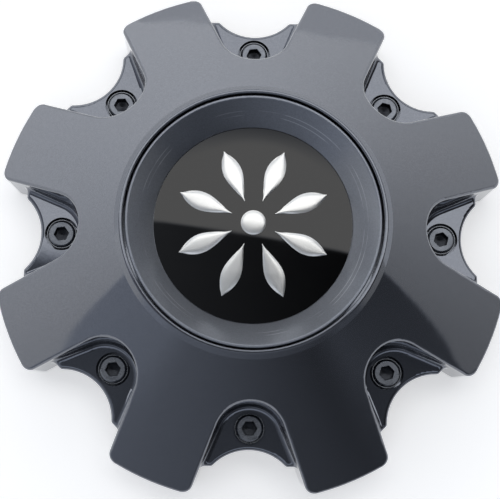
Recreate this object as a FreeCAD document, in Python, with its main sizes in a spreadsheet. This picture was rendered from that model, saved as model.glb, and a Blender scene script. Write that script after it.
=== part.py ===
import FreeCAD, Part
import math
import os
import Sketcher

# Wheel centre cap for an eight-lug truck wheel, lying face up.
# A moulded cover with eight fingers round the lug nuts holds a dished centre insert
# with a domed badge. Eight socket screws on washers fix the cover to the wheel.
# The axis of the wheel is Z, and z = 0 is the back of the finger ends.

doc = FreeCAD.newDocument("wheel_center_cap")
sheet = doc.addObject("Spreadsheet::Sheet", "dims")

driving_sizes = (
    ("notch_count", 8, "lug notches, with a finger between each two"),
    ("tip_radius", 100.0, "front edge of the finger ends"),
    ("tip_height", 15.5, "front edge of the finger ends above their back"),
    ("tip_lean", 9.0, "lean of the end wall, inward to the back, degrees"),
    ("tip_corner", 4.0, "round of the finger corners seen from the front"),
    ("lip_height", 52.0, "top of the lip round the centre"),
    ("lip_rise", 1.8, "lip above the upper edge of the cone"),
    ("lip_width", 3.2, "lip from the bore to the cone"),
    ("lip_flat", 1.3, "flat on top of the lip"),
    ("lip_round", 0.6, "round of the lip"),
    ("bore_radius", 46.9, "bore that takes the centre insert"),
    ("wall", 2.8, "moulded wall"),
    ("edge_round", 1.2, "round of the front edges"),
    ("ledge_width", 5.9, "ledge under the insert, from the bore inward"),
    ("ledge_thickness", 3.0, "ledge under the insert"),
    ("notch_offset", 4.3, "centre of the round notch bottom past the screw circle"),
    ("notch_bottom", 12.9, "radius of the notch bottom at the seat"),
    ("notch_draft", 1.2, "draft of the notch walls, degrees"),
    ("notch_overrun", 15.0, "notch outline past the finger ends"),
    ("seat_height", 18.2, "front of the screw flange"),
    ("flange_thickness", 4.5, "screw flange"),
    ("flange_round", 1.4, "round of the flange's free edge"),
    ("ear_length", 6.0, "ears of the flange past the foot of the scallop"),
    ("ear_round", 1.5, "round of the ear corners"),
    ("base_round", 2.2, "hollow between flange and notch wall"),
    ("scallop_land", 1.6, "flange between counterbore and scallop"),
    ("lug_clearance", 19.0, "radius left free round a lug nut"),
    ("screw_circle", 73.0, "radius of the screw circle"),
    ("bore_depth", 7.0, "counterbore under the flange's front"),
    ("bore_clearance", 1.4, "counterbore past the screw head"),
    ("boss_floor", 3.2, "boss under the counterbore"),
    ("hole_clearance", 0.3, "screw holes past the shank"),
    ("head_radius", 5.0, "screw head"),
    ("head_height", 6.0, "screw head"),
    ("head_chamfer", 0.6, "screw head"),
    ("socket_width", 5.0, "hexagon across its flats"),
    ("socket_depth", 3.0, "hexagon"),
    ("shank_radius", 3.0, "screw shank"),
    ("shank_length", 12.0, "screw shank"),
    ("neck_over", 0.6, "plain neck of the shank past the boss"),
    ("thread_step", 0.1, "threaded end of the shank under its neck"),
    ("shank_chamfer", 0.8, "screw end"),
    ("washer_radius", 5.5, "washer under the screw head"),
    ("washer_thickness", 1.6, "washer under the screw head"),
    ("ring_gap", 0.7, "gap between insert and lip"),
    ("rim_drop", 0.6, "insert's rim under the lip"),
    ("rim_flat", 1.0, "flat on the insert's rim"),
    ("rim_round", 0.4, "round of the insert's rim"),
    ("dish_depth", 9.4, "rim of the insert down to the badge's edge"),
    ("dish_width", 9.8, "rim of the insert inward to the badge's edge"),
    ("insert_depth", 14.0, "top of the lip to the ledge"),
    ("insert_wall", 2.2, "wall of the insert"),
    ("badge_edge", 1.5, "edge of the badge"),
    ("badge_dome", 3.3, "dome of the badge over its edge"),
    ("badge_gap", 0.25, "gap round the badge"),
)
for row, (alias, value, meaning) in enumerate(driving_sizes, start=1):
    sheet.set(f"A{row}", meaning)
    sheet.set(f"B{row}", str(value))
    sheet.setAlias(f"B{row}", alias)
doc.recompute()

# Sizes that follow from the driving ones, as expressions over the sheet
half_angle = "180 deg / dims.notch_count"
ledge_radius = "(dims.bore_radius - dims.ledge_width)"
counterbore_radius = "(dims.head_radius + dims.bore_clearance)"
notch_centre = "(dims.screw_circle + dims.notch_offset)"
notch_reach = "(dims.tip_radius + dims.notch_overrun)"
scallop_foot = f"(dims.screw_circle + {counterbore_radius} + dims.scallop_land)"
flange_reach = f"({scallop_foot} + dims.ear_length)"
lug_circle = f"({scallop_foot} + dims.lug_clearance)"
lip_foot_radius = "(dims.bore_radius + dims.lip_width)"
lip_foot_height = "(dims.lip_height - dims.lip_rise)"
cone_slope = f"(({lip_foot_height} - dims.tip_height) / (dims.tip_radius - {lip_foot_radius}))"
cone_drop = f"(dims.wall / cos(atan({cone_slope})))"
lean_rate = "tan(dims.tip_lean * 1 deg)"
tip_back_radius = f"(dims.tip_radius - dims.tip_height * {lean_rate})"
inner_back_radius = f"({tip_back_radius} - dims.wall)"
inner_cone_top = f"({lip_foot_height} + {cone_slope} * {lip_foot_radius} - {cone_drop})"
inner_tip_radius = (
    f"(({inner_back_radius} + {lean_rate} * {inner_cone_top}) / (1 + {lean_rate} * {cone_slope}))"
)
collar_radius = "(dims.bore_radius + dims.wall)"
ledge_height = "(dims.lip_height - dims.insert_depth)"
ledge_bottom = f"({ledge_height} - dims.ledge_thickness)"
flange_back = "(dims.seat_height - dims.flange_thickness)"
draft_rate = "tan(dims.notch_draft * 1 deg)"
notch_foot = f"(dims.notch_bottom - dims.seat_height * {draft_rate})"
counterbore_floor = "(dims.seat_height - dims.bore_depth)"
boss_back = f"({counterbore_floor} - dims.boss_floor)"
head_base = f"({counterbore_floor} + dims.washer_thickness)"
hole_radius = "(dims.shank_radius + dims.hole_clearance)"
neck_length = "(dims.washer_thickness + dims.boss_floor + dims.neck_over)"
rim_radius = "(dims.bore_radius - dims.ring_gap)"
rim_height = "(dims.lip_height - dims.rim_drop)"
dish_top_radius = f"({rim_radius} - dims.rim_flat)"
badge_edge_height = f"({rim_height} - dims.dish_depth)"
badge_seat = f"({badge_edge_height} - dims.badge_edge)"
badge_radius = f"({rim_radius} - dims.dish_width)"
recess_radius = f"({badge_radius} + dims.badge_gap)"
dish_slope = f"(dims.dish_depth / ({dish_top_radius} - {recess_radius}))"
dish_drop = f"(dims.insert_wall / cos(atan({dish_slope})))"
insert_floor = f"({badge_seat} - dims.insert_wall)"
skirt_radius = f"({rim_radius} - dims.insert_wall)"

# How far off a point may be and still lie on a plane, a wall or a leaning end, in mm
exact = 1e-6
close = 1e-3
near = 1e-2


def measure(expression):
    value = sheet.evalExpression(expression)
    return float(getattr(value, "Value", value))


def add_body(name):
    body = doc.addObject("PartDesign::Body", name)
    body.Label = name
    body.AllowCompound = True
    return body


def add_sketch(body, name, role, height="0"):
    plane = next(item for item in body.Origin.OriginFeatures if item.Role == role)
    sketch = body.newObject("Sketcher::SketchObject", name)
    sketch.AttachmentSupport = (plane, "")
    sketch.MapMode = "FlatFace"
    sketch.setExpression("AttachmentOffset.Base.z", height)
    doc.recompute()
    return sketch


def drive(sketch, constraint, expression):
    index = sketch.addConstraint(constraint)
    sketch.setExpression(f"Constraints[{index}]", expression)


def place_point(sketch, geometry, point, across, along):
    for kind, expression, axis in (("DistanceX", across, -2), ("DistanceY", along, -1)):
        distance = measure(expression)
        if abs(distance) < exact:
            sketch.addConstraint(Sketcher.Constraint("PointOnObject", geometry, point, axis))
        else:
            drive(sketch, Sketcher.Constraint(kind, -1, 1, geometry, point, distance), expression)


def draw_outline(sketch, corners):
    points = [FreeCAD.Vector(measure(across), measure(along), 0) for across, along in corners]
    count = len(points)
    for index in range(count):
        following = (index + 1) % count
        sketch.addGeometry(Part.LineSegment(points[index], points[following]), False)
    for index in range(count):
        following = (index + 1) % count
        sketch.addConstraint(Sketcher.Constraint("Coincident", index, 2, following, 1))
        place_point(sketch, index, 1, *corners[index])


def draw_circle(sketch, radius, centre="dims.screw_circle"):
    middle = FreeCAD.Vector(measure(centre), 0, 0)
    circle = Part.Circle(middle, FreeCAD.Vector(0, 0, 1), measure(radius))
    index = sketch.addGeometry(circle, False)
    sketch.addConstraint(Sketcher.Constraint("PointOnObject", index, 3, -1))
    drive(sketch, Sketcher.Constraint("DistanceX", -1, 1, index, 3, middle.x), centre)
    drive(sketch, Sketcher.Constraint("Radius", index, measure(radius)), radius)


def draw_notch(sketch, radius, reach, scallop=False):
    # A round bottom with two straight walls that open outward, along X.
    # With a scallop, the outer end is two ears beside the lug nut's clearance arc.
    angle = math.radians(measure(half_angle))
    size = measure(radius)
    middle = FreeCAD.Vector(measure(notch_centre), 0, 0)
    outer = measure(reach)
    touch = middle + FreeCAD.Vector(-size * math.sin(angle), size * math.cos(angle), 0)
    end = FreeCAD.Vector(outer, touch.y + (outer - touch.x) * math.tan(angle), 0)
    mirror = FreeCAD.Vector(end.x, -end.y, 0)
    low_touch = FreeCAD.Vector(touch.x, -touch.y, 0)
    ring = Part.Circle(middle, FreeCAD.Vector(0, 0, 1), size)
    bottom = sketch.addGeometry(
        Part.ArcOfCircle(ring, math.pi / 2 + angle, 3 * math.pi / 2 - angle), False)
    upper = sketch.addGeometry(Part.LineSegment(touch, end), False)
    lower = sketch.addGeometry(Part.LineSegment(mirror, low_touch), False)
    sketch.addConstraint(Sketcher.Constraint("Tangent", bottom, 1, upper, 1))
    sketch.addConstraint(Sketcher.Constraint("Tangent", bottom, 2, lower, 2))
    sketch.addConstraint(Sketcher.Constraint("PointOnObject", bottom, 3, -1))
    sketch.addConstraint(Sketcher.Constraint("Symmetric", upper, 2, lower, 1, -1))
    drive(sketch, Sketcher.Constraint("DistanceX", -1, 1, bottom, 3, middle.x), notch_centre)
    drive(sketch, Sketcher.Constraint("Radius", bottom, size), radius)
    drive(sketch, Sketcher.Constraint("Angle", upper, angle), half_angle)
    drive(sketch, Sketcher.Constraint("DistanceX", -1, 1, upper, 2, outer), reach)
    if not scallop:
        closing = sketch.addGeometry(Part.LineSegment(end, mirror), False)
        sketch.addConstraint(Sketcher.Constraint("Coincident", upper, 2, closing, 1))
        sketch.addConstraint(Sketcher.Constraint("Coincident", closing, 2, lower, 1))
        return
    nut = FreeCAD.Vector(measure(lug_circle), 0, 0)
    clear = measure("dims.lug_clearance")
    turn = math.acos((nut.x - outer) / clear)
    inner_end = FreeCAD.Vector(outer, clear * math.sin(turn), 0)
    inner_mirror = FreeCAD.Vector(outer, -inner_end.y, 0)
    upper_ear = sketch.addGeometry(Part.LineSegment(end, inner_end), False)
    lower_ear = sketch.addGeometry(Part.LineSegment(inner_mirror, mirror), False)
    nut_ring = Part.Circle(nut, FreeCAD.Vector(0, 0, 1), clear)
    bay = sketch.addGeometry(Part.ArcOfCircle(nut_ring, math.pi - turn, math.pi + turn), False)
    sketch.addConstraint(Sketcher.Constraint("Coincident", upper, 2, upper_ear, 1))
    sketch.addConstraint(Sketcher.Constraint("Coincident", upper_ear, 2, bay, 1))
    sketch.addConstraint(Sketcher.Constraint("Coincident", bay, 2, lower_ear, 1))
    sketch.addConstraint(Sketcher.Constraint("Coincident", lower_ear, 2, lower, 1))
    sketch.addConstraint(Sketcher.Constraint("Vertical", upper_ear))
    sketch.addConstraint(Sketcher.Constraint("Vertical", lower_ear))
    sketch.addConstraint(Sketcher.Constraint("PointOnObject", bay, 3, -1))
    drive(sketch, Sketcher.Constraint("DistanceX", -1, 1, bay, 3, nut.x), lug_circle)
    drive(sketch, Sketcher.Constraint("Radius", bay, clear), "dims.lug_clearance")


def turn_profile(body, name, kind, corners):
    sketch = add_sketch(body, name + "_profile", "XZ_Plane")
    draw_outline(sketch, corners)
    feature = body.newObject("PartDesign::" + kind, name)
    feature.Profile = sketch
    feature.ReferenceAxis = (sketch, ["V_Axis"])
    feature.Angle = 360
    doc.recompute()
    return feature


def extrude(body, name, kind, sketch, length, upward, draft=None):
    feature = body.newObject("PartDesign::" + kind, name)
    feature.Profile = sketch
    feature.setExpression("Length", length)
    feature.Reversed = upward == (kind == "Pocket")
    if draft:
        feature.setExpression("TaperAngle", draft)
    doc.recompute()
    return feature


def repeat_round(body, name, originals):
    axis = next(item for item in body.Origin.OriginFeatures if item.Role == "Z_Axis")
    pattern = body.newObject("PartDesign::PolarPattern", name)
    if originals:
        pattern.Originals = originals
    else:
        pattern.TransformMode = "Whole shape"
    pattern.Axis = (axis, [""])
    pattern.Angle = 360
    pattern.setExpression("Occurrences", "dims.notch_count")
    body.Tip = pattern
    doc.recompute()
    return pattern


def round_edges(body, name, base, edges, radius):
    fillet = body.newObject("PartDesign::Fillet", name)
    fillet.Base = (base, edges)
    fillet.setExpression("Radius", radius)
    doc.recompute()
    return fillet


def edges_where(feature, test):
    names = []
    for index, edge in enumerate(feature.Shape.Edges, start=1):
        if test(edge):
            names.append(f"Edge{index}")
    return names


def middle_of(edge):
    return edge.valueAt((edge.FirstParameter + edge.LastParameter) / 2)


# Core of the mould: the space behind the cone, less the blocks that carry the notch walls
core = add_body("mould_core")
below = "(-dims.wall)"
turn_profile(core, "space", "Revolution", (
    (f"{inner_back_radius} - dims.wall * {lean_rate}", below),
    (inner_tip_radius, f"{inner_cone_top} - {cone_slope} * {inner_tip_radius}"),
    (collar_radius, f"{inner_cone_top} - {cone_slope} * {collar_radius}"),
    (collar_radius, ledge_bottom),
    (f"{ledge_radius} - dims.wall", ledge_bottom),
    (f"{ledge_radius} - dims.wall", below),
))
block_sketch = add_sketch(core, "block_outline", "XY_Plane")
draw_notch(block_sketch, f"{notch_foot} + dims.wall", notch_reach)
block = extrude(core, "block", "Pocket", block_sketch, "dims.lip_height", True, "dims.notch_draft")
repeat_round(core, "blocks", [block])
turn_profile(core, "back_rim", "Revolution", (
    (f"{inner_back_radius} - dims.wall * {lean_rate}", below),
    (inner_back_radius, "0"),
    (f"{inner_back_radius} - {flange_back} / {cone_slope}", flange_back),
    (f"{ledge_radius} - dims.wall", flange_back),
    (f"{ledge_radius} - dims.wall", below),
))

# Cover: turned blank with the lip, the cone, the end wall and the bore, hollowed by the core
cover = add_body("cap_body")
turn_profile(cover, "blank", "Revolution", (
    ("dims.bore_radius", "dims.lip_height"),
    ("dims.bore_radius + dims.lip_flat", "dims.lip_height"),
    (lip_foot_radius, lip_foot_height),
    ("dims.tip_radius", "dims.tip_height"),
    (tip_back_radius, "0"),
    (ledge_radius, "0"),
    (ledge_radius, ledge_height),
    ("dims.bore_radius", ledge_height),
))
hollowed = cover.newObject("PartDesign::Boolean", "hollow")
hollowed.setObjects([core])
hollowed.Type = "Cut"
doc.recompute()

# Open notches, wider at the front than at the back
notch_sketch = add_sketch(cover, "notch_outline", "XY_Plane")
draw_notch(notch_sketch, notch_foot, notch_reach)
notch = extrude(cover, "notch", "Pocket", notch_sketch, "dims.lip_height", True, "dims.notch_draft")
repeat_round(cover, "notches", [notch])

# Screw flanges across the notch floors, each with a boss behind it
flange = add_body("flange_blank")
plate_sketch = add_sketch(flange, "plate_outline", "XY_Plane", flange_back)
draw_notch(plate_sketch, "dims.notch_bottom + dims.wall / 2", flange_reach, scallop=True)
extrude(flange, "plate", "Pad", plate_sketch, "dims.flange_thickness", True)
boss_sketch = add_sketch(flange, "boss_outline", "XY_Plane", boss_back)
draw_circle(boss_sketch, f"{counterbore_radius} + dims.wall")
extrude(flange, "boss", "Pad", boss_sketch, f"{flange_back} - {boss_back}", True)
lug_sketch = add_sketch(flange, "lug_outline", "XY_Plane", boss_back)
draw_circle(lug_sketch, "dims.lug_clearance", lug_circle)
extrude(flange, "lug_bay", "Pocket", lug_sketch, "dims.seat_height", True)
flanges = repeat_round(flange, "flanges", None)
seat_height = measure("dims.seat_height")
nut_circle = measure(lug_circle)
nut_clearance = measure("dims.lug_clearance")
notch_step = 2 * math.radians(measure(half_angle))


def in_notch_frame(point):
    turns = round(math.atan2(point.y, point.x) / notch_step)
    angle = -turns * notch_step
    across = point.x * math.cos(angle) - point.y * math.sin(angle)
    along = point.x * math.sin(angle) + point.y * math.cos(angle)
    return FreeCAD.Vector(across, along, point.z)


def is_ear_corner(edge):
    ends = [vertex.Point for vertex in edge.Vertexes]
    if len(ends) != 2 or abs(ends[0].z - ends[1].z) < exact:
        return False
    middle = in_notch_frame(middle_of(edge))
    on_bay = abs(math.hypot(middle.x - nut_circle, middle.y) - nut_clearance) < exact
    return on_bay and abs(middle.x - measure(flange_reach)) < exact


def is_free_edge(edge):
    if any(abs(vertex.Point.z - seat_height) > exact for vertex in edge.Vertexes):
        return False
    middle = in_notch_frame(middle_of(edge))
    on_ear = abs(middle.x - measure(flange_reach)) < exact
    on_bay = abs(math.hypot(middle.x - nut_circle, middle.y) - nut_clearance) < exact
    return on_ear or on_bay


ears = round_edges(flange, "ear_rounds", flanges, edges_where(flanges, is_ear_corner), "dims.ear_round")
round_edges(flange, "flange_rounds", ears, edges_where(ears, is_free_edge), "dims.flange_round")

joined = cover.newObject("PartDesign::Boolean", "flange_join")
joined.setObjects([flange])
joined.Type = "Fuse"
doc.recompute()


def is_notch_foot(edge):
    if len(edge.Vertexes) != 2:
        return False
    if any(abs(vertex.Point.z - seat_height) > exact for vertex in edge.Vertexes):
        return False
    middle = in_notch_frame(middle_of(edge))
    reach = middle.x - measure(notch_centre)
    angle = math.radians(measure(half_angle))
    if reach < -measure("dims.notch_bottom") * math.sin(angle):
        distance = math.hypot(reach, middle.y)
    else:
        distance = abs(middle.y) * math.cos(angle) - reach * math.sin(angle)
    return abs(distance - measure("dims.notch_bottom")) < close


foot_edges = edges_where(joined, is_notch_foot)
round_edges(cover, "base_rounds", joined, foot_edges, "dims.base_round")

# Counterbores and screw holes
bore_sketch = add_sketch(cover, "counterbore_outline", "XY_Plane", counterbore_floor)
draw_circle(bore_sketch, counterbore_radius)
counterbore = extrude(cover, "counterbore", "Pocket", bore_sketch, "dims.bore_depth + dims.base_round", True)
hole_sketch = add_sketch(cover, "hole_outline", "XY_Plane", boss_back)
draw_circle(hole_sketch, hole_radius)
hole = extrude(cover, "screw_hole", "Pocket", hole_sketch, "dims.boss_floor", True)
holes = repeat_round(cover, "screw_holes", [counterbore, hole])
tip_height = measure("dims.tip_height")
tip_radius = measure("dims.tip_radius")
lean = measure(lean_rate)


def end_wall_radius(height):
    return tip_radius - (tip_height - height) * lean


def radius_of(point):
    return math.hypot(point.x, point.y)


def is_finger_corner(edge):
    ends = [vertex.Point for vertex in edge.Vertexes]
    if len(ends) != 2 or abs(abs(ends[0].z - ends[1].z) - tip_height) > close:
        return False
    middle = middle_of(edge)
    return abs(radius_of(middle) - end_wall_radius(middle.z)) < near


corner_edges = edges_where(holes, is_finger_corner)
corners = round_edges(cover, "finger_corners", holes, corner_edges, "dims.tip_corner")
foot_radius = measure(lip_foot_radius)
foot_height = measure(lip_foot_height)
slope = measure(cone_slope)


def is_front_edge(edge):
    for share in (0.0, 0.25, 0.5, 0.75, 1.0):
        place = edge.FirstParameter + share * (edge.LastParameter - edge.FirstParameter)
        point = edge.valueAt(place)
        radius = radius_of(point)
        on_cone = abs(point.z - foot_height + slope * (radius - foot_radius)) < close
        if not on_cone or radius < foot_radius + close:
            return False
    return True


front_edges = edges_where(corners, is_front_edge)
front = round_edges(cover, "front_rounds", corners, front_edges, "dims.edge_round")


def is_lip_edge(edge):
    middle = middle_of(edge)
    return abs(middle.z - measure("dims.lip_height")) < exact


lip_edges = edges_where(front, is_lip_edge)
lip = round_edges(cover, "lip_rounds", front, lip_edges, "dims.lip_round")
cover.Tip = lip
doc.recompute()

# Centre insert: a dish with a recess for the badge and a skirt that stands on the ledge
insert = add_body("centre_insert")
dish = turn_profile(insert, "dish", "Revolution", (
    ("0", badge_seat),
    (recess_radius, badge_seat),
    (recess_radius, badge_edge_height),
    (dish_top_radius, rim_height),
    (rim_radius, rim_height),
    (rim_radius, ledge_height),
    (skirt_radius, ledge_height),
    (skirt_radius, f"{rim_height} - {dish_slope} * ({dish_top_radius} - {skirt_radius}) - {dish_drop}"),
    (f"{dish_top_radius} - ({rim_height} - {dish_drop} - {insert_floor}) / {dish_slope}", insert_floor),
    ("0", insert_floor),
))


def is_rim_edge(edge):
    return abs(middle_of(edge).z - measure(rim_height)) < exact


round_edges(insert, "rim_rounds", dish, edges_where(dish, is_rim_edge), "dims.rim_round")

# Badge: a disc with a domed front
badge = add_body("badge")
badge_sketch = add_sketch(badge, "badge_profile", "XZ_Plane")
edge_height = measure(badge_edge_height)
disc_radius = measure(badge_radius)
rise = measure("dims.badge_dome")
ball_radius = (disc_radius ** 2 + rise ** 2) / (2 * rise)
ball_centre = FreeCAD.Vector(0, edge_height + rise - ball_radius, 0)
edge_angle = math.atan2(edge_height - ball_centre.y, disc_radius)
seat_point = FreeCAD.Vector(0, measure(badge_seat), 0)
seat_corner = FreeCAD.Vector(disc_radius, seat_point.y, 0)
edge_point = FreeCAD.Vector(disc_radius, edge_height, 0)
apex = FreeCAD.Vector(0, edge_height + rise, 0)
badge_sketch.addGeometry(Part.LineSegment(seat_point, seat_corner), False)
badge_sketch.addGeometry(Part.LineSegment(seat_corner, edge_point), False)
ball = Part.Circle(ball_centre, FreeCAD.Vector(0, 0, 1), ball_radius)
badge_sketch.addGeometry(Part.ArcOfCircle(ball, edge_angle, math.pi / 2), False)
badge_sketch.addGeometry(Part.LineSegment(apex, seat_point), False)
for first, first_end, second, second_end in ((0, 2, 1, 1), (1, 2, 2, 1), (2, 2, 3, 1), (3, 2, 0, 1)):
    badge_sketch.addConstraint(Sketcher.Constraint("Coincident", first, first_end, second, second_end))
badge_sketch.addConstraint(Sketcher.Constraint("PointOnObject", 2, 3, -2))
place_point(badge_sketch, 0, 1, "0", badge_seat)
place_point(badge_sketch, 1, 1, badge_radius, badge_seat)
place_point(badge_sketch, 1, 2, badge_radius, badge_edge_height)
place_point(badge_sketch, 2, 2, "0", f"{badge_edge_height} + dims.badge_dome")
dome = badge.newObject("PartDesign::Revolution", "dome")
dome.Profile = badge_sketch
dome.ReferenceAxis = (badge_sketch, ["V_Axis"])
dome.Angle = 360
doc.recompute()

# Washers on the counterbore floors
washers = add_body("screw_washers")
ring_sketch = add_sketch(washers, "washer_outline", "XY_Plane", counterbore_floor)
draw_circle(ring_sketch, "dims.washer_radius")
draw_circle(ring_sketch, hole_radius)
extrude(washers, "washer", "Pad", ring_sketch, "dims.washer_thickness", True)
repeat_round(washers, "washer_ring", None)

# Socket screws, heads down on the washers
screws = add_body("cap_screws")
head_sketch = add_sketch(screws, "head_outline", "XY_Plane", head_base)
draw_circle(head_sketch, "dims.head_radius")
extrude(screws, "head", "Pad", head_sketch, "dims.head_height", True)
neck_sketch = add_sketch(screws, "neck_outline", "XY_Plane", head_base)
draw_circle(neck_sketch, "dims.shank_radius")
extrude(screws, "neck", "Pad", neck_sketch, neck_length, False)
thread_sketch = add_sketch(screws, "thread_outline", "XY_Plane", head_base)
draw_circle(thread_sketch, "dims.shank_radius - dims.thread_step")
extrude(screws, "thread", "Pad", thread_sketch, "dims.shank_length", False)
socket_top = f"({head_base} + dims.head_height)"
socket_sketch = add_sketch(screws, "socket_outline", "XY_Plane", socket_top)
socket_corner = "(dims.socket_width / 2 / cos(30 deg))"
hexagon = [
    (f"dims.screw_circle + {socket_corner} * cos({60 * side} deg)", f"{socket_corner} * sin({60 * side} deg)")
    for side in range(6)
]
draw_outline(socket_sketch, hexagon)
socket = extrude(screws, "socket", "Pocket", socket_sketch, "dims.socket_depth", False)


def is_head_rim(edge):
    on_top = abs(middle_of(edge).z - measure(socket_top)) < exact
    return on_top and len(edge.Vertexes) == 1


def is_shank_end(edge):
    return abs(middle_of(edge).z - measure(f"{head_base} - dims.shank_length")) < exact


def bevel_edges(body, name, base, edges, size):
    bevel = body.newObject("PartDesign::Chamfer", name)
    bevel.Base = (base, edges)
    bevel.setExpression("Size", size)
    doc.recompute()
    return bevel


head_bevel = bevel_edges(screws, "head_bevel", socket, edges_where(socket, is_head_rim), "dims.head_chamfer")
shank_edges = edges_where(head_bevel, is_shank_end)
bevel_edges(screws, "shank_bevel", head_bevel, shank_edges, "dims.shank_chamfer")
repeat_round(screws, "screw_ring", None)

# Every object is sound before anything is written
for item in doc.Objects:
    if any(state in ("Invalid", "Error") for state in item.State):
        raise RuntimeError(f"{item.Label} did not build: {item.State}")
os.makedirs("parts", exist_ok=True)
for body in (cover, insert, badge, washers, screws):
    if body.Shape.isNull() or not body.Shape.isValid():
        raise RuntimeError(f"{body.Label} has no sound shape")
for body in (cover, insert, badge, washers, screws):
    body.Shape.exportStep(f"parts/{body.Label}.step")
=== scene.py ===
import bmesh
import bpy
import math
from mathutils import Matrix, Vector


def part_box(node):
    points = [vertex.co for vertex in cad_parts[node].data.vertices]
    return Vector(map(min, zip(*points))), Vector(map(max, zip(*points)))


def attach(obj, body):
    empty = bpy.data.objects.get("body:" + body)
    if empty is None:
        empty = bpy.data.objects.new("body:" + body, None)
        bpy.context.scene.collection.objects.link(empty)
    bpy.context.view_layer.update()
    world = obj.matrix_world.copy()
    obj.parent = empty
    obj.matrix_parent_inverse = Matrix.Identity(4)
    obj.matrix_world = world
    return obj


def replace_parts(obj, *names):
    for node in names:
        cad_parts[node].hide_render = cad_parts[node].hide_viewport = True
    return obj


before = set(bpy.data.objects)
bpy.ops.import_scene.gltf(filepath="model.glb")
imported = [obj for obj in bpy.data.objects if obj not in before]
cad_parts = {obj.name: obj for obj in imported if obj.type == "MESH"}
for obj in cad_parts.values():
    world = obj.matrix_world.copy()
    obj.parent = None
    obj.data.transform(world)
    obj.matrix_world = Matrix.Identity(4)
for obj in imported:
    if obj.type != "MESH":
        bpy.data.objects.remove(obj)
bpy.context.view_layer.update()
scene = bpy.context.scene
scene.view_settings.view_transform = "Standard"
mm = 0.001


# small helpers for node trees
def addNode(tree, kind, **values):
    node = tree.nodes.new(kind)
    for key, value in values.items():
        setattr(node, key, value)
    return node


def link(tree, source, target):
    tree.links.new(source, target)


def feed(tree, socket, value):
    if hasattr(value, "is_output"):
        link(tree, value, socket)
    else:
        socket.default_value = value


def mathNode(tree, operation, first, second=None, third=None, clamp=False):
    node = addNode(tree, "ShaderNodeMath", operation=operation, use_clamp=clamp)
    for index, value in enumerate((first, second, third)):
        if value is not None:
            feed(tree, node.inputs[index], value)
    return node.outputs[0]


def mixColor(tree, factor, first, second):
    node = addNode(tree, "ShaderNodeMix", data_type="RGBA")
    for index, value in ((0, factor), (6, first), (7, second)):
        feed(tree, node.inputs[index], value)
    return node.outputs[2]


def mixValue(tree, factor, first, second):
    node = addNode(tree, "ShaderNodeMix", data_type="FLOAT")
    for index, value in ((0, factor), (2, first), (3, second)):
        feed(tree, node.inputs[index], value)
    return node.outputs[0]


def newGroup(name, inputs, outputs):
    group = bpy.data.node_groups.new(name, "ShaderNodeTree")
    for label, default in inputs:
        socket = group.interface.new_socket(label, in_out="INPUT", socket_type="NodeSocketFloat")
        socket.default_value = default
    for label in outputs:
        group.interface.new_socket(label, in_out="OUTPUT", socket_type="NodeSocketFloat")
    return group, group.nodes.new("NodeGroupInput"), group.nodes.new("NodeGroupOutput")


def objectPlace(group):
    return addNode(group, "ShaderNodeTexCoord").outputs["Object"]


# noise whose grain is given in mm
def noiseOf(group, place, size, **values):
    noise = addNode(group, "ShaderNodeTexNoise")
    for key, value in values.items():
        noise.inputs[key].default_value = value
    link(group, place, noise.inputs["Vector"])
    link(group, mathNode(group, "DIVIDE", 1 / mm, size), noise.inputs["Scale"])
    return noise.outputs["Fac"]


# metal flake under lacquer, with the soft waviness of a sprayed coat
def makeFlakeGroup():
    group, start, end = newGroup(
        "sprayedFlake", (("Flake Size", 0.35), ("Flake Depth", 0.2), ("Peel Size", 3.0)), ("Shade", "Height"))
    place = objectPlace(group)
    flakes = addNode(group, "ShaderNodeTexVoronoi", feature="F1")
    link(group, place, flakes.inputs["Vector"])
    link(group, mathNode(group, "DIVIDE", 1 / mm, start.outputs["Flake Size"]), flakes.inputs["Scale"])
    split = addNode(group, "ShaderNodeSeparateColor")
    link(group, flakes.outputs["Color"], split.inputs[0])
    centred = mathNode(group, "SUBTRACT", split.outputs[0], 0.5)
    shade = mathNode(group, "MULTIPLY_ADD", centred, start.outputs["Flake Depth"], 0.5)
    link(group, shade, end.inputs["Shade"])
    link(group, noiseOf(group, place, start.outputs["Peel Size"], Detail=1.5), end.inputs["Height"])
    return group


# faint smears from handling
def makeSmearGroup():
    group, start, end = newGroup("handlingSmears", (("Smear Size", 30.0), ("Sharpness", 3.0)), ("Mask",))
    stretch = addNode(group, "ShaderNodeMapping")
    stretch.inputs["Rotation"].default_value = (0.3, 0.2, 0.7)
    stretch.inputs["Scale"].default_value = (1.0, 2.6, 1.4)
    link(group, objectPlace(group), stretch.inputs["Vector"])
    cloud = noiseOf(group, stretch.outputs[0], start.outputs["Smear Size"], Detail=5.0, Roughness=0.62)
    centred = mathNode(group, "SUBTRACT", cloud, 0.5)
    mask = mathNode(group, "MULTIPLY_ADD", centred, start.outputs["Sharpness"], 0.5, clamp=True)
    link(group, mask, end.inputs["Mask"])
    return group


# fine turning lines of a machined part
def makeTurnedGroup():
    group, start, end = newGroup("turnedLines", (("Line Size", 0.25),), ("Mask",))
    squash = addNode(group, "ShaderNodeMapping")
    squash.inputs["Scale"].default_value = (0.35, 0.35, 1.0)
    link(group, objectPlace(group), squash.inputs["Vector"])
    link(group, noiseOf(group, squash.outputs[0], start.outputs["Line Size"], Detail=3.0), end.inputs["Mask"])
    return group


# 0 low down, 1 higher up; both heights in mm; this mask places painted shade in hollows, along with the black oxide
# in the screw socket
def makeRecessShadeGroup():
    group, start, end = newGroup("rimWear", (("Low", 17.0), ("High", 18.5)), ("Mask",))
    split = addNode(group, "ShaderNodeSeparateXYZ")
    link(group, objectPlace(group), split.inputs[0])
    rise = addNode(group, "ShaderNodeMapRange")
    link(group, mathNode(group, "DIVIDE", split.outputs["Z"], mm), rise.inputs["Value"])
    link(group, start.outputs["Low"], rise.inputs["From Min"])
    link(group, start.outputs["High"], rise.inputs["From Max"])
    link(group, rise.outputs[0], end.inputs["Mask"])
    return group
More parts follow.
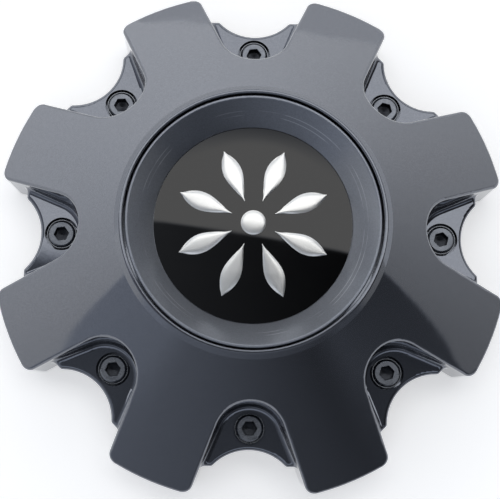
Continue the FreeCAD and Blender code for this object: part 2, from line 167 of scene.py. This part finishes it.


# painted highlight: a lighter line round the axis for the lit edge of a fine groove, broken into arcs; sizes in mm
def makeGrooveHighlightGroup():
    group, start, end = newGroup(
        "ringGrooveHighlight", (
            ("Radius", 41.0), ("Width", 0.12),
            ("Break Size", 14.0), ("Break Level", 0.48), ("Break Sharpness", 8.0)), ("Mask",))
    place = objectPlace(group)
    split = addNode(group, "ShaderNodeSeparateXYZ")
    link(group, place, split.inputs[0])
    x, y = split.outputs["X"], split.outputs["Y"]
    squares = mathNode(group, "MULTIPLY_ADD", x, x, mathNode(group, "MULTIPLY", y, y))
    radius = mathNode(group, "DIVIDE", mathNode(group, "SQRT", squares), mm)
    off = mathNode(group, "ABSOLUTE", mathNode(group, "SUBTRACT", radius, start.outputs["Radius"]))
    line = mathNode(group, "SUBTRACT", 1.0, mathNode(group, "DIVIDE", off, start.outputs["Width"]), clamp=True)
    breaks = noiseOf(group, place, start.outputs["Break Size"])
    above = mathNode(group, "SUBTRACT", breaks, start.outputs["Break Level"])
    shown = mathNode(group, "MULTIPLY", above, start.outputs["Break Sharpness"], clamp=True)
    link(group, mathNode(group, "MULTIPLY", line, shown), end.inputs["Mask"])
    return group


flakeGroup = makeFlakeGroup()
smearGroup = makeSmearGroup()
turnedGroup = makeTurnedGroup()
recessShadeGroup = makeRecessShadeGroup()
grooveHighlightGroup = makeGrooveHighlightGroup()
print("shader groups ready")


def newMaterial(name):
    material = bpy.data.materials.new(name)
    material.use_nodes = True
    tree = material.node_tree
    return material, tree, tree.nodes["Principled BSDF"]


def useGroup(tree, group, **values):
    node = addNode(tree, "ShaderNodeGroup", node_tree=group)
    for key, value in values.items():
        node.inputs[key].default_value = value
    return node


def spread(tree, mask, low, high):
    node = addNode(tree, "ShaderNodeMapRange")
    link(tree, mask, node.inputs["Value"])
    node.inputs["To Min"].default_value = low
    node.inputs["To Max"].default_value = high
    return node.outputs[0]


def bump(tree, shader, height, strength, distance):
    node = addNode(tree, "ShaderNodeBump")
    node.inputs["Strength"].default_value = strength
    node.inputs["Distance"].default_value = distance
    link(tree, height, node.inputs["Height"])
    link(tree, node.outputs[0], shader.inputs["Normal"])


# lacquered gunmetal, for the cover and the insert
def makePaint(name, look):
    material, tree, shader = newMaterial(name)
    flake = useGroup(tree, flakeGroup, **{"Flake Size": look["flakeSize"], "Flake Depth": look["flakeDepth"]})
    smear = useGroup(tree, smearGroup, **{"Smear Size": look["smearSize"]})
    color = mixColor(tree, flake.outputs["Shade"], look["dark"], look["light"])
    for radius in look["grooveHighlights"]:
        # painted highlight of a groove edge, mixed into the paint colour
        grooveHighlight = useGroup(tree, grooveHighlightGroup, **{"Radius": radius, "Width": look["grooveHighlightWidth"]})
        color = mixColor(tree, grooveHighlight.outputs["Mask"], color, look["grooveHighlightColor"])
    link(tree, color, shader.inputs["Base Color"])
    link(tree, spread(tree, smear.outputs["Mask"], *look["roughness"]), shader.inputs["Roughness"])
    shader.inputs["Metallic"].default_value = look["metallic"]
    shader.inputs["Coat Weight"].default_value = look["coat"]
    shader.inputs["Coat Roughness"].default_value = look["coatRoughness"]
    bump(tree, shader, flake.outputs["Height"], look["peel"], look["peelDepth"])
    return material


def makeGloss(name, look):
    material, tree, shader = newMaterial(name)
    smear = useGroup(tree, smearGroup, **{"Smear Size": look["smearSize"]})
    link(tree, mixColor(tree, smear.outputs["Mask"], look["dark"], look["light"]), shader.inputs["Base Color"])
    link(tree, spread(tree, smear.outputs["Mask"], *look["roughness"]), shader.inputs["Roughness"])
    shader.inputs["IOR"].default_value = look["ior"]
    return material


def makeMetal(name, look):
    material, tree, shader = newMaterial(name)
    turned = useGroup(tree, turnedGroup, **{"Line Size": look["lineSize"]})
    smear = useGroup(tree, smearGroup, **{"Smear Size": look["smearSize"]})
    color = mixColor(tree, turned.outputs["Mask"], look["dark"], look["light"])
    # painted shade: darker colour below the given heights, in the hollows of screws and washers, together with black
    # oxide in the socket
    if "recess" in look:
        shaded = useGroup(tree, recessShadeGroup, Low=look["shadeFrom"], High=look["shadeTo"])
        color = mixColor(tree, shaded.outputs["Mask"], look["recess"], color)
    link(tree, color, shader.inputs["Base Color"])
    link(tree, spread(tree, smear.outputs["Mask"], *look["roughness"]), shader.inputs["Roughness"])
    shader.inputs["Metallic"].default_value = 1.0
    bump(tree, shader, turned.outputs["Mask"], look["grain"], look["grainDepth"])
    return material


def addPiece(name, mesh):
    piece = bpy.data.objects.new(name, mesh)
    scene.collection.objects.link(piece)
    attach(piece, "root")
    return piece


# cover, insert and badge keep their solids, and get better paint
coverLook = {
    "dark": (0.112, 0.122, 0.145, 1), "light": (0.152, 0.163, 0.19, 1), "metallic": 0.88,
    "roughness": (0.025, 0.055), "coat": 0.5, "coatRoughness": 0.02,
    "flakeSize": 0.3, "flakeDepth": 0.7, "smearSize": 45.0,
    "peel": 0.12, "peelDepth": 0.02 * mm, "grooveHighlights": (),
}
insertLook = dict(
    coverLook, dark=(0.178, 0.193, 0.224, 1), light=(0.232, 0.249, 0.286, 1),
    roughness=(0.29, 0.36), coat=0.25, coatRoughness=0.1,
    # the lighter rings in the dish are painted highlights of fine grooves
    grooveHighlights=(40.3, 41.5), grooveHighlightWidth=0.16, grooveHighlightColor=(0.42, 0.44, 0.48, 1))
badgeLook = {
    "dark": (0.0006, 0.0006, 0.0007, 1), "light": (0.0016, 0.0015, 0.0015, 1),
    "roughness": (0.02, 0.06), "smearSize": 25.0, "ior": 1.5,
}
solidPaints = {
    "cap_body": makePaint("coverPaint", coverLook),
    "centre_insert": makePaint("insertPaint", insertLook),
    "badge": makeGloss("badgeBlack", badgeLook),
}
for node, material in solidPaints.items():
    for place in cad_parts[node].material_slots:
        place.material = material
print("cover, insert and badge painted")


# rings of points round the axis, joined to a closed skin
def makeLathe(name, rings, shape, loop):
    steps = shape["steps"]
    work = bmesh.new()
    grid = []
    for ring in rings:
        row = []
        for turn, (radius, height) in enumerate(ring):
            angle = math.tau * turn / steps
            row.append(work.verts.new((radius * math.cos(angle), radius * math.sin(angle), height)))
        grid.append(row)
    followers = grid[1:] + grid[:1] if loop else grid[1:]
    for above, below in zip(grid, followers):
        for turn in range(steps):
            following = (turn + 1) % steps
            work.faces.new((above[turn], below[turn], below[following], above[following]))
    if not loop:
        work.faces.new(grid[0])
        work.faces.new(list(reversed(grid[-1])))
    bmesh.ops.recalc_face_normals(work, faces=work.faces)
    for face in work.faces:
        face.smooth = True
    mesh = bpy.data.meshes.new(name)
    work.to_mesh(mesh)
    work.free()
    mesh.set_sharp_from_angle(angle=math.radians(shape["crease"]))
    return mesh


def newTree(name, inputs):
    tree = bpy.data.node_groups.new(name, "GeometryNodeTree")
    tree.interface.new_socket("Geometry", in_out="OUTPUT", socket_type="NodeSocketGeometry")
    for label, kind in inputs:
        tree.interface.new_socket(label, in_out="INPUT", socket_type="NodeSocket" + kind)
    return tree, tree.nodes.new("NodeGroupInput"), tree.nodes.new("NodeGroupOutput")


# a ring of copies, each turned by its own amount
def makeRingTree(name):
    tree, start, end = newTree(name, (
        ("Model", "Object"), ("Count", "Int"), ("Circle", "Float"), ("Seed", "Int"), ("Finish", "Material")))
    circle = addNode(tree, "GeometryNodeMeshCircle")
    link(tree, start.outputs["Count"], circle.inputs["Vertices"])
    link(tree, start.outputs["Circle"], circle.inputs["Radius"])
    model = addNode(tree, "GeometryNodeObjectInfo")
    link(tree, start.outputs["Model"], model.inputs["Object"])
    turn = addNode(tree, "FunctionNodeRandomValue", data_type="FLOAT")
    turn.inputs[3].default_value = math.tau
    link(tree, start.outputs["Seed"], turn.inputs["Seed"])
    about = addNode(tree, "ShaderNodeCombineXYZ")
    link(tree, turn.outputs[1], about.inputs["Z"])
    spot = addNode(tree, "GeometryNodeInstanceOnPoints")
    link(tree, circle.outputs["Mesh"], spot.inputs["Points"])
    link(tree, model.outputs["Geometry"], spot.inputs["Instance"])
    link(tree, about.outputs[0], spot.inputs["Rotation"])
    realize = addNode(tree, "GeometryNodeRealizeInstances")
    link(tree, spot.outputs[0], realize.inputs[0])
    finish = addNode(tree, "GeometryNodeSetMaterial")
    link(tree, realize.outputs[0], finish.inputs["Geometry"])
    link(tree, start.outputs["Finish"], finish.inputs["Material"])
    link(tree, finish.outputs[0], end.inputs["Geometry"])
    return tree


def runTree(name, tree, values):
    holder = bpy.data.objects.new(name + "Draft", bpy.data.meshes.new(name + "Draft"))
    scene.collection.objects.link(holder)
    modifier = holder.modifiers.new("build", "NODES")
    modifier.node_group = tree
    for item in tree.interface.items_tree:
        if item.in_out == "INPUT" and item.name in values:
            modifier[item.identifier] = values[item.name]
    holder.update_tag()
    depsgraph = bpy.context.evaluated_depsgraph_get()
    mesh = bpy.data.meshes.new_from_object(holder.evaluated_get(depsgraph))
    mesh.name = name
    holder.modifiers.remove(modifier)
    bpy.data.objects.remove(holder)
    return mesh


screwRing = {"Count": 8, "Circle": 73.0 * mm, "Seed": 4}
ringTree = makeRingTree("ringOfCopies")


def addRing(name, mesh, material, node):
    model = bpy.data.objects.new(name + "Model", mesh)
    scene.collection.objects.link(model)
    ring = runTree(name, ringTree, dict(screwRing, Model=model, Finish=material))
    bpy.data.objects.remove(model)
    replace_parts(addPiece(name, ring), node)
    print(name, len(ring.polygons), "faces")


# socket screws with knurled heads, hexagon sockets and threads
screws = {
    "shape": {
        "steps": 72, "crease": 35.0,
        "headRadius": 5.0 * mm, "headHeight": 6.0 * mm, "headChamfer": 0.55 * mm,
        "knurlDepth": 0.14 * mm, "knurlTop": 0.25 * mm, "knurlFoot": 0.6 * mm,
        "headFoot": 0.35 * mm, "footChamfer": 0.2 * mm,
        "socketWidth": 5.0 * mm, "socketDepth": 3.0 * mm, "socketBevel": 0.12 * mm,
        "drillRadius": 1.5 * mm, "drillTip": 0.35 * mm, "drillDepth": 0.4 * mm,
        "neckRadius": 3.0 * mm, "neckLength": 5.4 * mm, "neckStep": 0.1 * mm,
        "threadRadius": 2.9 * mm, "threadDepth": 0.5 * mm, "pitch": 1.0 * mm, "ringsPerPitch": 8,
        "pointChamfer": 0.7 * mm,
    },
    "look": {
        "dark": (0.12, 0.13, 0.15, 1), "light": (0.2, 0.213, 0.238, 1),
        "roughness": (0.22, 0.34), "lineSize": 0.3, "smearSize": 6.0, "grain": 0.25, "grainDepth": 0.02 * mm,
        # painted shade colour for the socket and the hidden side of the head, mixed with black oxide; it fades out
        # between the two heights
        "recess": (0.028, 0.03, 0.035, 1), "shadeFrom": 17.2, "shadeTo": 18.6,
    },
}
screwLow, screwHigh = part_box("cap_screws")


def makeScrewMesh(shape):
    steps = shape["steps"]
    top, end = screwHigh.z, screwLow.z
    floor = top - shape["socketDepth"]
    headBase = top - shape["headHeight"]
    threadTop = headBase - shape["neckLength"]
    headRadius, chamfer, bevel = shape["headRadius"], shape["headChamfer"], shape["socketBevel"]

    def hexagon(turn):
        local = (turn * 360 / steps) % 60 - 30
        return shape["socketWidth"] / 2 / math.cos(math.radians(local))

    def knurl(turn):
        return headRadius - (shape["knurlDepth"] if turn % 2 else 0)

    # from the drill point in the socket, over the head and down the neck
    rings = [
        [(shape["drillTip"], floor - shape["drillDepth"])] * steps,
        [(shape["drillRadius"], floor)] * steps,
        [(hexagon(turn), floor) for turn in range(steps)],
        [(hexagon(turn), top - bevel) for turn in range(steps)],
        [(hexagon(turn) + bevel, top) for turn in range(steps)],
        [(headRadius - chamfer, top)] * steps,
        [(headRadius, top - chamfer)] * steps,
        [(knurl(turn), top - chamfer - shape["knurlTop"]) for turn in range(steps)],
        [(knurl(turn), headBase + shape["knurlFoot"]) for turn in range(steps)],
        [(headRadius, headBase + shape["headFoot"])] * steps,
        [(headRadius - shape["footChamfer"], headBase)] * steps,
        [(shape["neckRadius"], headBase)] * steps,
        [(shape["neckRadius"], threadTop + shape["neckStep"])] * steps,
        [(shape["threadRadius"], threadTop)] * steps,
    ]
    count = int((threadTop - end) / shape["pitch"] * shape["ringsPerPitch"])
    for index in range(1, count + 1):
        height = threadTop + (end - threadTop) * index / count
        taper = max(0.0, shape["pointChamfer"] - (height - end))
        fade = min(1.0, index / shape["ringsPerPitch"])
        ring = []
        for turn in range(steps):
            phase = (height / shape["pitch"] - turn / steps) % 1.0
            groove = shape["threadDepth"] * fade * (1 - abs(2 * phase - 1))
            ring.append((shape["threadRadius"] - max(groove, taper), height))
        rings.append(ring)
    return makeLathe("oneScrew", rings, shape, False)


screwSteel = makeMetal("screwSteel", screws["look"])
addRing("socketScrews", makeScrewMesh(screws["shape"]), screwSteel, "cap_screws")

# cup washers, whose thin collar stands round the screw head
washers = {
    "shape": {
        "steps": 72, "crease": 35.0, "hole": 3.3 * mm, "outer": 5.65 * mm,
        "collarInner": 5.2 * mm, "collarTop": 17.9 * mm, "bevel": 0.12 * mm,
    },
    "look": dict(
        # the washer gets the same painted shade low in its cup, between its own heights
        screws["look"], dark=(0.15, 0.16, 0.18, 1), light=(0.26, 0.275, 0.3, 1), shadeFrom=15.5, shadeTo=17.8),
}
washerLow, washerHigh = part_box("screw_washers")


def makeWasherMesh(shape):
    bevel, outer, inner, top = shape["bevel"], shape["outer"], shape["collarInner"], shape["collarTop"]
    profile = (
        (shape["hole"], washerLow.z), (outer - bevel, washerLow.z), (outer, washerLow.z + bevel),
        (outer, top - bevel), (outer - bevel, top), (inner + bevel, top), (inner, top - bevel),
        (inner, washerHigh.z), (shape["hole"], washerHigh.z),
    )
    return makeLathe("oneWasher", [[point] * shape["steps"] for point in profile], shape, True)


washerSteel = makeMetal("washerSteel", washers["look"])
addRing("cupWashers", makeWasherMesh(washers["shape"]), washerSteel, "screw_washers")

# chrome petals round a button, raised a little on the dome of the badge
badgeLow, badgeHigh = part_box("badge")
domeRise = 3.3 * mm
discRadius = (badgeHigh.x - badgeLow.x) / 2
marks = {
    "shape": {
        "Count": 8, "Inner Radius": 8.5 * mm, "Outer Radius": 29.0 * mm, "Tip Width": 0.3 * mm, "Width": 6.6 * mm,
        "Fullness": 1.3, "Rise": 0.55 * mm, "Sink": 0.15 * mm, "Edge Drop": 0.6, "Edge Power": 4.0,
        "Cells Along": 25, "Cells Across": 9,
        "Ball Radius": (discRadius ** 2 + domeRise ** 2) / (2 * domeRise), "Crown": badgeHigh.z,
        "Button": 4.6 * mm, "Button Rise": 0.7 * mm, "Button Segments": 48, "Button Rings": 24,
    },
    "crease": 40.0,
    "look": {
        "dark": (0.78, 0.78, 0.76, 1), "light": (0.86, 0.86, 0.84, 1),
        "roughness": (0.3, 0.36), "lineSize": 0.8, "smearSize": 12.0, "grain": 0.04, "grainDepth": 0.02 * mm,
    },
}


def makeMarkTree():
    sizes = [(label, "Int" if isinstance(size, int) else "Float") for label, size in marks["shape"].items()]
    tree, start, end = newTree("badgeMarks", sizes + [("Finish", "Material")])
    value = start.outputs

    def combine(**sources):
        node = addNode(tree, "ShaderNodeCombineXYZ")
        for key, source in sources.items():
            link(tree, source, node.inputs[key])
        return node.outputs[0]

    # a closed block one unit wide and high
    sheet = addNode(tree, "GeometryNodeMeshGrid")
    sheet.inputs["Size X"].default_value = 1.0
    sheet.inputs["Size Y"].default_value = 1.0
    link(tree, value["Cells Along"], sheet.inputs["Vertices X"])
    link(tree, value["Cells Across"], sheet.inputs["Vertices Y"])
    thick = addNode(tree, "GeometryNodeExtrudeMesh", mode="FACES")
    thick.inputs["Individual"].default_value = False
    thick.inputs["Offset Scale"].default_value = 1.0
    link(tree, sheet.outputs["Mesh"], thick.inputs["Mesh"])
    under = addNode(tree, "GeometryNodeFlipFaces")
    link(tree, sheet.outputs["Mesh"], under.inputs[0])
    closed = addNode(tree, "GeometryNodeJoinGeometry")
    link(tree, thick.outputs["Mesh"], closed.inputs[0])
    link(tree, under.outputs[0], closed.inputs[0])
    welded = addNode(tree, "GeometryNodeMergeByDistance")
    link(tree, closed.outputs[0], welded.inputs["Geometry"])
    # the block spread to a petal: x along it, y across it, z up from the dome
    spot = addNode(tree, "ShaderNodeSeparateXYZ")
    link(tree, addNode(tree, "GeometryNodeInputPosition").outputs[0], spot.inputs[0])
    along = mathNode(tree, "ADD", spot.outputs["X"], 0.5)
    side = mathNode(tree, "MULTIPLY", spot.outputs["Y"], 2.0)
    length = mathNode(tree, "SUBTRACT", value["Outer Radius"], value["Inner Radius"])
    reach = mathNode(tree, "MULTIPLY_ADD", along, length, value["Inner Radius"])
    bulge = mathNode(tree, "POWER", along, value["Fullness"])
    swell = mathNode(tree, "SINE", mathNode(tree, "MULTIPLY", bulge, math.pi))
    width = mathNode(tree, "MULTIPLY_ADD", swell, value["Width"], value["Tip Width"])
    across = mathNode(tree, "MULTIPLY", side, mathNode(tree, "MULTIPLY", width, 0.5))
    rim = mathNode(tree, "POWER", mathNode(tree, "ABSOLUTE", side), value["Edge Power"])
    arch = mathNode(tree, "SUBTRACT", 1.0, mathNode(tree, "MULTIPLY", rim, value["Edge Drop"]))
    upper = mathNode(tree, "MULTIPLY_ADD", arch, value["Rise"], value["Sink"])
    onTop = mathNode(tree, "GREATER_THAN", spot.outputs["Z"], 0.5)
    lift = mathNode(tree, "SUBTRACT", mathNode(tree, "MULTIPLY", onTop, upper), value["Sink"])
    square = mathNode(tree, "ADD", mathNode(tree, "POWER", reach, 2.0), mathNode(tree, "POWER", across, 2.0))
    drop = mathNode(tree, "DIVIDE", square, mathNode(tree, "MULTIPLY", value["Ball Radius"], 2.0))
    height = mathNode(tree, "ADD", mathNode(tree, "SUBTRACT", value["Crown"], drop), lift)
    petal = addNode(tree, "GeometryNodeSetPosition")
    link(tree, welded.outputs[0], petal.inputs["Geometry"])
    link(tree, combine(X=reach, Y=across, Z=height), petal.inputs["Position"])
    points = addNode(tree, "GeometryNodePoints")
    link(tree, value["Count"], points.inputs["Count"])
    points.inputs["Position"].default_value = (0, 0, 0)
    order = mathNode(tree, "ADD", addNode(tree, "GeometryNodeInputIndex").outputs[0], 0.5)
    turn = mathNode(tree, "MULTIPLY", order, mathNode(tree, "DIVIDE", math.tau, value["Count"]))
    ring = addNode(tree, "GeometryNodeInstanceOnPoints")
    link(tree, points.outputs[0], ring.inputs["Points"])
    link(tree, petal.outputs[0], ring.inputs["Instance"])
    link(tree, combine(Z=turn), ring.inputs["Rotation"])
    realize = addNode(tree, "GeometryNodeRealizeInstances")
    link(tree, ring.outputs[0], realize.inputs[0])
    # the button: a ball pressed flat, half sunk in the crown
    ball = addNode(tree, "GeometryNodeMeshUVSphere")
    ball.inputs["Radius"].default_value = 1.0
    link(tree, value["Button Segments"], ball.inputs["Segments"])
    link(tree, value["Button Rings"], ball.inputs["Rings"])
    button = addNode(tree, "GeometryNodeTransform")
    link(tree, ball.outputs["Mesh"], button.inputs["Geometry"])
    link(tree, combine(Z=value["Crown"]), button.inputs["Translation"])
    squash = combine(X=value["Button"], Y=value["Button"], Z=value["Button Rise"])
    link(tree, squash, button.inputs["Scale"])
    whole = addNode(tree, "GeometryNodeJoinGeometry")
    link(tree, realize.outputs[0], whole.inputs[0])
    link(tree, button.outputs[0], whole.inputs[0])
    smooth = addNode(tree, "GeometryNodeSetShadeSmooth")
    link(tree, whole.outputs[0], smooth.inputs["Geometry"])
    finish = addNode(tree, "GeometryNodeSetMaterial")
    link(tree, smooth.outputs[0], finish.inputs["Geometry"])
    link(tree, value["Finish"], finish.inputs["Material"])
    link(tree, finish.outputs[0], end.inputs["Geometry"])
    return tree


markChrome = makeMetal("markChrome", marks["look"])
markMesh = runTree("badgeMarks", makeMarkTree(), dict(marks["shape"], Finish=markChrome))
markMesh.set_sharp_from_angle(angle=math.radians(marks["crease"]))
addPiece("badgeMarks", markMesh)
print("badge marks", len(markMesh.polygons), "faces")

# pale floor that keeps the shadow
floorLook = {
    "size": 6.0, "drop": 0.4 * mm, "color": (0.82, 0.82, 0.82, 1), "roughness": (0.6, 0.7), "smearSize": 120.0,
    "lift": 0.5,
}


def makeFloor():
    half = floorLook["size"] / 2
    mesh = bpy.data.meshes.new("floor")
    corners = [(-half, -half), (half, -half), (half, half), (-half, half)]
    mesh.from_pydata([(x, y, -floorLook["drop"]) for x, y in corners], [], [(0, 1, 2, 3)])
    material, tree, shader = newMaterial("paleFloor")
    smear = useGroup(tree, smearGroup, **{"Smear Size": floorLook["smearSize"]})
    shader.inputs["Base Color"].default_value = floorLook["color"]
    link(tree, spread(tree, smear.outputs["Mask"], *floorLook["roughness"]), shader.inputs["Roughness"])
    path = addNode(tree, "ShaderNodeLightPath")
    seen = mathNode(tree, "MAXIMUM", path.outputs["Is Camera Ray"], path.outputs["Is Glossy Ray"])
    seen = mathNode(tree, "MAXIMUM", seen, path.outputs["Is Transmission Ray"])
    shader.inputs["Emission Color"].default_value = (1, 1, 1, 1)
    link(tree, mathNode(tree, "MULTIPLY", seen, floorLook["lift"]), shader.inputs["Emission Strength"])
    mesh.materials.append(material)
    floor = bpy.data.objects.new("floor", mesh)
    scene.collection.objects.link(floor)


# studio with a bright far side; edges and slopes are parts of the unit direction
studio = {
    "wall": 0.935, "wallFar": 0.61, "wallSide": -0.3, "wallTop": 0.365, "wallTopFar": 0.3, "wallTopSide": -0.035,
    "wallSoft": 0.008, "wallEnd": -0.48, "wallEndSoft": 0.08,
    "panel": 1.8, "panelEdge": 0.15, "panelTurn": -0.15, "panelSoft": 0.01, "panelFoot": 0.82, "panelFootSoft": 0.03,
    "dark": 0.465, "darkTint": (0.92, 0.98, 1.1, 1), "darkSide": -0.3, "darkRise": -0.325,
    "darkNear": -0.125, "darkNearEdge": -0.73, "darkNearSoft": 0.08, "darkLeast": 0.02,
    "farFill": 0.55, "farFillEdge": 0.38, "farFillSoft": 0.15,
    "nearFill": 0.85, "nearFillEdge": -0.36, "nearFillSoft": 0.08, "nearFillFoot": 0.66, "nearFootSoft": 0.05,
}


def makeWorld():
    world = bpy.data.worlds.new("studio")
    scene.world = world
    world.use_nodes = True
    tree = world.node_tree
    background = tree.nodes["Background"]
    split = addNode(tree, "ShaderNodeSeparateXYZ")
    link(tree, addNode(tree, "ShaderNodeTexCoord").outputs["Generated"], split.inputs[0])
    x, y, z = split.outputs

    # 0 where value is below edge, 1 above it
    def past(value, edge, soft):
        node = addNode(tree, "ShaderNodeMapRange", interpolation_type="SMOOTHSTEP")
        node.inputs["From Min"].default_value = -soft
        node.inputs["From Max"].default_value = soft
        link(tree, mathNode(tree, "SUBTRACT", value, edge), node.inputs["Value"])
        return node.outputs[0]

    def slope(direction, rate, base):
        return mathNode(tree, "MULTIPLY_ADD", direction, rate, base)

    def both(first, second):
        return mathNode(tree, "MULTIPLY", first, second)

    # a pale wall, highest on the far side and open towards the viewer
    wallTop = slope(x, studio["wallTopSide"], slope(y, studio["wallTopFar"], studio["wallTop"]))
    onWall = both(past(wallTop, z, studio["wallSoft"]), past(y, studio["wallEnd"], studio["wallEndSoft"]))
    wallLevel = slope(x, studio["wallSide"], slope(y, studio["wallFar"], studio["wall"]))
    # a light panel overhead, on the far side of the middle
    panelEdge = slope(x, studio["panelTurn"], studio["panelEdge"])
    onPanel = both(
        past(y, panelEdge, studio["panelSoft"]), past(z, studio["panelFoot"], studio["panelFootSoft"]))
    # the dim rest of the room, darkest behind the viewer
    dark = slope(x, studio["darkSide"], slope(z, studio["darkRise"], studio["dark"]))
    behind = past(studio["darkNearEdge"], y, studio["darkNearSoft"])
    dark = mathNode(tree, "MAXIMUM", slope(behind, studio["darkNear"], dark), studio["darkLeast"])
    # weaker fill above the wall on the far side, and high up on the near side
    onFar = past(y, studio["farFillEdge"], studio["farFillSoft"])
    onNear = both(
        past(studio["nearFillEdge"], y, studio["nearFillSoft"]),
        past(z, studio["nearFillFoot"], studio["nearFootSoft"]))
    level = mixValue(tree, onFar, dark, studio["farFill"])
    level = mixValue(tree, onNear, level, studio["nearFill"])
    level = mixValue(tree, onWall, level, wallLevel)
    level = mixValue(tree, onPanel, level, studio["panel"])
    # plain white behind the floor
    seen = addNode(tree, "ShaderNodeLightPath").outputs["Is Camera Ray"]
    plain = mathNode(tree, "MAXIMUM", mathNode(tree, "MAXIMUM", onWall, onPanel), seen)
    link(tree, mixColor(tree, plain, studio["darkTint"], (1, 1, 1, 1)), background.inputs["Color"])
    link(tree, mixValue(tree, seen, level, 1.0), background.inputs["Strength"])


makeFloor()
makeWorld()
print("floor and studio ready")

# camera above the face, a little towards the viewer's side
cameraView = {
    "eye": (-8.69 * mm, -88.15 * mm, 469.3 * mm), "target": (-0.65 * mm, -5.3 * mm, 20.0 * mm),
    "roll": 6.35, "lens": 86.0, "sensor": 36.0, "clipStart": 10.0 * mm,
}
cameraData = bpy.data.cameras.new("photoCamera")
cameraData.lens = cameraView["lens"]
cameraData.sensor_width = cameraView["sensor"]
cameraData.clip_start = cameraView["clipStart"]
camera = bpy.data.objects.new("photoCamera", cameraData)
scene.collection.objects.link(camera)
camera.location = cameraView["eye"]
sight = Vector(cameraView["target"]) - Vector(cameraView["eye"])
camera.rotation_mode = "QUATERNION"
facing = sight.to_track_quat("-Z", "Y").to_matrix().to_4x4()
rolled = facing @ Matrix.Rotation(math.radians(cameraView["roll"]), 4, "Z")
camera.rotation_quaternion = rolled.to_quaternion()
scene.camera = camera
print("camera ready")
